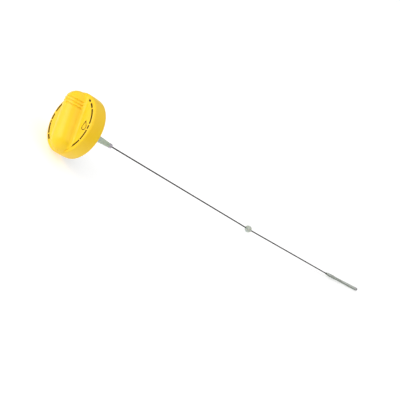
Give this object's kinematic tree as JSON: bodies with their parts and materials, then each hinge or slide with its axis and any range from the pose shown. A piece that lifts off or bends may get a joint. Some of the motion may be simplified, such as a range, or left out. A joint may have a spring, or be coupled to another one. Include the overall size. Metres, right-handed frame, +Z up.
{
  "type": "engine oil dipstick",
  "caption": "Screw-in oil filler cap with a half-round grip, carrying a wire dipstick with a guide bead and a hatched measuring blade.",
  "frame": {"origin": "on the surface it lies on, under the middle of its bounding box", "axes": "+X along the stick from the cap to the tip, +Y across, +Z up as it lies"},
  "size_m": [0.459, 0.056, 0.0564],
  "materials": {
    "cap_plastic": "moulded, semi-gloss",
    "insert_plastic": "moulded, glass-filled",
    "seal_rubber": "moulded",
    "holder_nylon": "moulded, natural",
    "plated_steel": "zinc plated, pressed",
    "wire_steel": "galvanised, stranded",
    "bead_nylon": "moulded, natural",
    "blade_plastic": "moulded, satin",
    "stop_steel": "turned, plain"
  },
  "bodies": {
    "root": {"cap_shell": "cap_plastic", "thread_insert": "insert_plastic", "seal_ring": "seal_rubber", "stick_holder": "holder_nylon", "wire_anchor": "plated_steel", "holder_crimp": "plated_steel", "gauge_wire": "wire_steel", "guide_bead": "bead_nylon", "gauge_blade": "blade_plastic", "end_stop": "stop_steel"}
  },
  "joints": []
}
